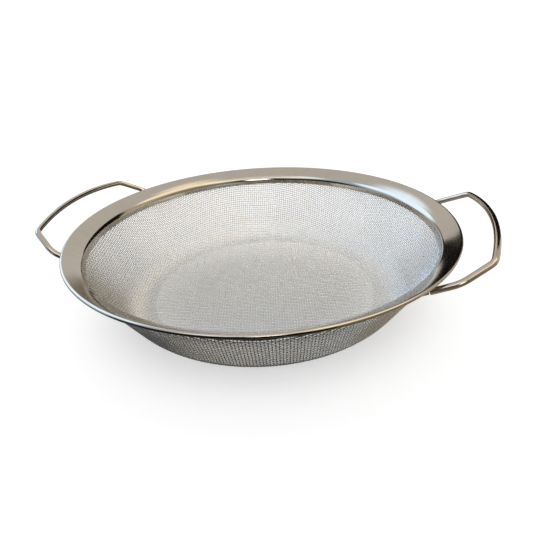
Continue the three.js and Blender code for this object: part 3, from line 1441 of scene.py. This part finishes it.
@dataclass(frozen=True)
class Flat(Card):
    """An upright card, square to the picture's line of sight.

    Attributes:
        away: Distance behind the object's middle, in metres.
        outline: Its corners to the right and up in the picture's frame, in metres.
    """

    away: float
    outline: tuple[Point, ...]

    @staticmethod
    def oblong(left: float, right: float, top: float) -> tuple[Point, ...]:
        """Lists the corners of an oblong that stands on the table."""
        return ((left, 0.0), (right, 0.0), (right, top), (left, top))

    def build(self, heading: float) -> None:
        """Sets the card up.

        Args:
            heading: Turn of the picture's right from +X, in degrees.
        """
        Shop.clear()
        bpy.ops.mesh.primitive_circle_add(vertices=len(self.outline), radius=1.0, fill_type="NGON")
        turn = Matrix.Rotation(math.radians(heading), 3, "Z")
        for corner, (right, up) in zip(bpy.context.object.data.vertices, self.outline):
            corner.co = turn @ Vector((right, self.away, up))
        self.dress(bpy.context.object)


@dataclass(frozen=True)
class RingFlat(Card):
    """A faintly glowing ring that lies on the table round the bowl.

    Attributes:
        inner: Radius of its hole, in metres.
        outer: Outer radius, in metres.
        height: Height above the table, and its own depth, in metres.
        right_colour: Its colour on the picture's right.
        right_reach: Distance to the right at which that colour is full, in metres.
        steps: Steps round the ring.
    """

    inner: float = 0.08
    outer: float = 0.5
    height: float = 0.0001
    right_colour: Colour = (0.34, 0.29, 0.22)
    right_reach: float = 0.12
    steps: int = 64

    def build(self, heading: float) -> None:
        """Lays the ring out.

        Args:
            heading: Turn of the picture's right from +X, in degrees.
        """
        Shop.clear()
        bpy.ops.mesh.primitive_cone_add(
            vertices=self.steps,
            radius1=self.outer,
            radius2=self.inner,
            depth=self.height,
            end_fill_type="NOTHING",
            location=(0.0, 0.0, self.height),
            rotation=(0.0, 0.0, math.radians(heading)),
        )
        paint = self.dress(bpy.context.object)
        hand = Nodes(paint.node_tree)
        place = hand.fed("ShaderNodeSeparateXYZ", (hand.object_place(),))
        rightward = hand.span(place.outputs["X"], 0.0, self.right_reach, 0.0, 1.0)
        colour = hand.mix(rightward, self.colour, self.right_colour)
        shader = paint.node_tree.nodes["Principled BSDF"]
        hand.feed(shader.inputs["Emission Color"], colour)
        shader.inputs["Emission Strength"].default_value = 1.0


@dataclass
class Studio:
    """The floor, the soft light, what the steel mirrors and the camera.

    Attributes:
        heading: Turn of the picture's right from +X, in degrees.
        distance: Distance from the camera to the point that it is aimed by, in millimetres.
        elevation: Height of the camera above the horizon, in radians.
        roll: Turn of the camera about its line of sight, in radians.
        focal_pixels: Focal length, in pixels of the photograph.
        image_pixels: Width of the photograph, in pixels.
        aim_pixel: Where that point is seen in the photograph, in pixels.
        aim_height: Height of that point on the Z axis, in millimetres.
        base_tone: What the steel mirrors where there is no patch.
        patches: Areas that the steel mirrors, later ones over earlier ones.
        flats: Cards that the steel mirrors.
        sky_light: Even light on what isn't steel.
        floor_size: Width of the floor, in metres.
        floor_tone: Grey of the floor.
        floor_roughness: Roughness of the floor.
        floor_glow_and_painted_shadow: Light that the floor shows of its own, low under the object as a
            painted shadow and high away from it.
        painted_shadow_fade: Radii between which that light rises out of the painted shadow, in metres.
        painted_shadow_stretch: Stretch of the painted shadow's radius on the floor, in the picture's frame.
        painted_shadow_shift: Shift of the painted shadow's centre in the picture's frame, in metres.
        lamp_azimuth: Direction of the lamp, in degrees from the right of the picture.
        lamp_elevation: Height of the lamp above the horizon, in degrees.
        lamp_distance: Distance of the lamp, in metres.
        lamp_size: Width of the lamp, in metres.
        lamp_power: Power of the lamp, in watts.
        sensor_width: Width of the camera's sensor, in millimetres.
        clip: Nearest and farthest distances that the camera sees, in metres.
    """

    heading: float = 16.25
    distance: float = 307.96
    elevation: float = math.radians(28.397)
    roll: float = -0.06035
    focal_pixels: float = 445.28
    image_pixels: float = 533.0
    aim_pixel: Point = (259.63, 221.41)
    aim_height: float = 53.6
    base_tone: Colour = (0.72, 0.69, 0.65)
    patches: tuple[StudioPatch, ...] = (
        StudioPatch(180.0, 15.0, 20.0, 60.0, (0.54, 0.66, 0.86)),
        StudioPatch(0.0, 15.0, 20.0, 60.0, (0.62, 0.54, 0.43)),
        StudioPatch(-90.0, 0.0, 28.0, 44.0, (0.05, 0.05, 0.05)),
        StudioPatch(-140.0, 0.0, 26.0, 40.0, (0.03, 0.03, 0.035)),
        StudioPatch(-40.0, 0.0, 26.0, 40.0, (0.34, 0.29, 0.21)),
        StudioPatch(106.0, 0.0, 9.0, 17.0, (0.26, 0.23, 0.18)),
        StudioPatch(5.0, 58.0, 16.0, 24.0, (1.6, 1.42, 1.06)),
        StudioPatch(136.0, 28.0, 20.0, 28.0, (1.4, 1.72, 2.1)),
        StudioPatch(160.0, 36.0, 13.0, 20.0, (1.4, 1.75, 2.2)),
        StudioPatch(-62.0, 60.0, 14.0, 24.0, (1.8, 1.6, 1.25)),
        StudioPatch(-122.0, 60.0, 14.0, 24.0, (1.5, 1.6, 1.7)),
        StudioPatch(-90.0, 72.0, 13.0, 22.0, (0.9, 0.88, 0.84)),
        StudioPatch(-90.0, 23.5, 6.0, 11.0, (4.4, 4.35, 4.2)),
    )
    flats: tuple[Card, ...] = (
        Flat(
            "back_flat",
            (0.01, 0.01, 0.01),
            0.5,
            ((0.03, 0.0), (0.9, 0.0), (0.9, 0.6), (0.38, 0.6), (0.135, 0.23), (0.03, 0.11)),
        ),
        Flat("front_flat", (0.02, 0.02, 0.022), -0.136, Flat.oblong(-0.3, 0.04, 0.056)),
        Flat("front_right_flat", (0.4, 0.34, 0.25), -0.136, Flat.oblong(0.04, 0.3, 0.056)),
        RingFlat("table_flat", (0.08, 0.08, 0.083)),
    )
    sky_light: float = 0.6
    floor_size: float = 30.0
    floor_tone: float = 0.6
    floor_roughness: float = 0.9
    # The floor's glow is low near the object and high away from it: the low part is a painted shadow.
    floor_glow_and_painted_shadow: Point = (0.16, 0.67)
    painted_shadow_fade: Point = (0.04, 0.116)
    painted_shadow_stretch: Place = (0.85, 1.0, 1.0)
    painted_shadow_shift: Place = (0.0, 0.01, 0.0)
    lamp_azimuth: float = 90.0
    lamp_elevation: float = 84.0
    lamp_distance: float = 1.2
    lamp_size: float = 1.0
    lamp_power: float = 2.5
    sensor_width: float = 36.0
    clip: Point = (0.01, 100.0)

    def build(self) -> None:
        """Builds the whole studio."""
        self.build_world()
        self.build_floor()
        for flat in self.flats:
            flat.build(self.heading)
        self.build_lamp()
        self.build_camera()
        bpy.context.scene.view_settings.view_transform = "Standard"

    def direction(self, azimuth: float, elevation: float) -> Vector:
        """Gives a direction in the frame from one in the picture's frame.

        Args:
            azimuth: Direction about the object, in degrees from the right of the picture.
            elevation: Height above the horizon, in degrees.

        Returns:
            The direction, one long.
        """
        a = math.radians(azimuth + self.heading)
        e = math.radians(elevation)
        return Vector((math.cos(a) * math.cos(e), math.sin(a) * math.cos(e), math.sin(e)))

    def build_world(self) -> None:
        """Makes the world: white to the camera, a studio of soft boxes and flats to the steel."""
        world = bpy.data.worlds.new("studio")
        world.use_nodes = True
        bpy.context.scene.world = world
        hand = Nodes(world.node_tree)
        background = world.node_tree.nodes["Background"]
        heading = hand.add("ShaderNodeTexCoord").outputs["Generated"]
        heading = hand.vector("NORMALIZE", heading)
        tone = self.base_tone
        for patch in self.patches:
            aim = self.direction(patch.azimuth, patch.elevation)
            near = hand.vector("DOT_PRODUCT", heading, tuple(aim), out="Value")
            low = math.cos(math.radians(patch.outer))
            high = math.cos(math.radians(patch.inner))
            tone = hand.mix(hand.span(near, low, high, 0.0, 1.0), tone, patch.colour)
        path = hand.add("ShaderNodeLightPath")
        plain = hand.mix(path.outputs["Is Glossy Ray"], (self.sky_light,) * 3, tone)
        passed = path.outputs["Is Transmission Ray"]
        seen = hand.math("ADD", path.outputs["Is Camera Ray"], passed, clamp=True)
        hand.feed(background.inputs["Color"], hand.mix(seen, plain, (1.0, 1.0, 1.0)))

    def build_floor(self) -> None:
        """Makes the pale floor, white where no shadow falls, its glow dimmed round the object into a painted
        shadow besides the real one.
        """
        Shop.clear()
        bpy.ops.mesh.primitive_plane_add(
            size=self.floor_size, rotation=(0.0, 0.0, math.radians(self.heading))
        )
        floor = bpy.context.object
        floor.name = "floor"
        paint = bpy.data.materials.new("pale_floor")
        paint.use_nodes = True
        hand = Nodes(paint.node_tree)
        shader = paint.node_tree.nodes["Principled BSDF"]
        shader.inputs["Base Color"].default_value = (*(self.floor_tone,) * 3, 1.0)
        shader.inputs["Roughness"].default_value = self.floor_roughness
        shader.inputs["Specular IOR Level"].default_value = 0.0
        shader.inputs["Emission Color"].default_value = (1.0, 1.0, 1.0, 1.0)
        path = hand.add("ShaderNodeLightPath")
        seen = hand.math("ADD", path.outputs["Is Camera Ray"], path.outputs["Is Glossy Ray"])
        seen = hand.math("ADD", seen, path.outputs["Is Transmission Ray"], clamp=True)
        # The glow is dimmed round a stretched, shifted centre near the object: a painted shadow on the floor.
        place = hand.vector("MULTIPLY_ADD", hand.object_place(), self.painted_shadow_stretch, self.painted_shadow_shift)
        radius = hand.vector("LENGTH", place, out="Value")
        glow_with_painted_shadow = hand.span(radius, *self.painted_shadow_fade, *self.floor_glow_and_painted_shadow)
        hand.feed(shader.inputs["Emission Strength"], hand.math("MULTIPLY", seen, glow_with_painted_shadow))
        floor.data.materials.append(paint)

    def build_lamp(self) -> None:
        """Hangs the soft lamp over the object, unseen in the steel."""
        aim = self.direction(self.lamp_azimuth, self.lamp_elevation)
        Shop.clear()
        bpy.ops.object.light_add(type="AREA", location=aim * self.lamp_distance)
        lamp = bpy.context.object
        lamp.name = "key_lamp"
        lamp.data.size = self.lamp_size
        lamp.data.energy = self.lamp_power
        lamp.visible_glossy = False
        lamp.rotation_mode = "QUATERNION"
        lamp.rotation_quaternion = aim.to_track_quat("Z", "Y")

    def build_camera(self) -> None:
        """Sets the camera at the photograph's place and angle."""
        back = Vector((0.0, -math.cos(self.elevation), math.sin(self.elevation)))
        right = Vector((1.0, 0.0, 0.0))
        up = Vector((0.0, math.sin(self.elevation), math.cos(self.elevation)))
        across = right * math.cos(self.roll) + up * math.sin(self.roll)
        above = up * math.cos(self.roll) - right * math.sin(self.roll)
        middle = (self.image_pixels - 1) / 2
        per_pixel = self.distance / self.focal_pixels
        aside = (self.aim_pixel[0] - middle) * per_pixel
        raised = (middle - self.aim_pixel[1]) * per_pixel
        place = back * self.distance - across * aside - above * raised
        turn = Matrix.Rotation(math.radians(self.heading), 3, "Z")
        Shop.clear()
        bpy.ops.object.camera_add()
        camera = bpy.context.object
        axes = Matrix((across, above, back)).transposed()
        camera.matrix_world = (turn @ axes).to_4x4()
        camera.location = (turn @ place + Vector((0.0, 0.0, self.aim_height))) * MM
        camera.data.sensor_width = self.sensor_width
        camera.data.lens = self.sensor_width * self.focal_pixels / self.image_pixels
        camera.data.clip_start, camera.data.clip_end = self.clip
        bpy.context.scene.camera = camera


RIM_FINISH = SteelFinish("spun_rim_steel", (0.57, 0.53, 0.47), (0.53, 0.49, 0.43), 0.10, 0.14, 0.004)
RING_FINISH = SteelFinish("satin_ring_steel", (0.40, 0.38, 0.34), (0.30, 0.28, 0.25), 0.28, 0.42, 0.03)
HANDLE_FINISH = SteelFinish("polished_wire_steel", (0.62, 0.56, 0.47), (0.52, 0.47, 0.39), 0.08, 0.16, 0.01)
# The lug's dark olive colour is painted shade, standing in for the shade under the rim; its higher roughness
# is the welded steel's own.
LUG_PAINTED_SHADE_FINISH = SteelFinish("welded_lug_steel", (0.34, 0.32, 0.25), (0.22, 0.20, 0.15), 0.3, 0.5, 0.05)
CLOTH_FINISH = SteelFinish("cloth_wire_steel", (0.92, 0.91, 0.89), (0.55, 0.54, 0.52), 0.27, 0.35, 0.01)


def main() -> None:
    """Builds the sieve and its studio."""
    logging.basicConfig(level=logging.INFO, format="%(name)s %(message)s")
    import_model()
    sizes = SeamSizes()
    spun = EffectGroups.spun_lines()
    marks = EffectGroups.handling_marks()
    Rim(sizes).build(RIM_FINISH.spun(spun))
    ClampRing(sizes).build(RING_FINISH.spun(spun))
    cloth = WireCloth(sizes)
    cloth.build(CLOTH_FINISH.woven(marks, cloth.tone_name))
    wire_finish = HANDLE_FINISH.handled(marks)
    lug_painted_shade_finish = LUG_PAINTED_SHADE_FINISH.handled(marks)
    for side in Side:
        handle = Handle(sizes, side)
        handle.build(wire_finish)
        for end in End:
            Lug(handle, end).build(lug_painted_shade_finish)
    Studio().build()


if __name__ == "__main__":
    main()
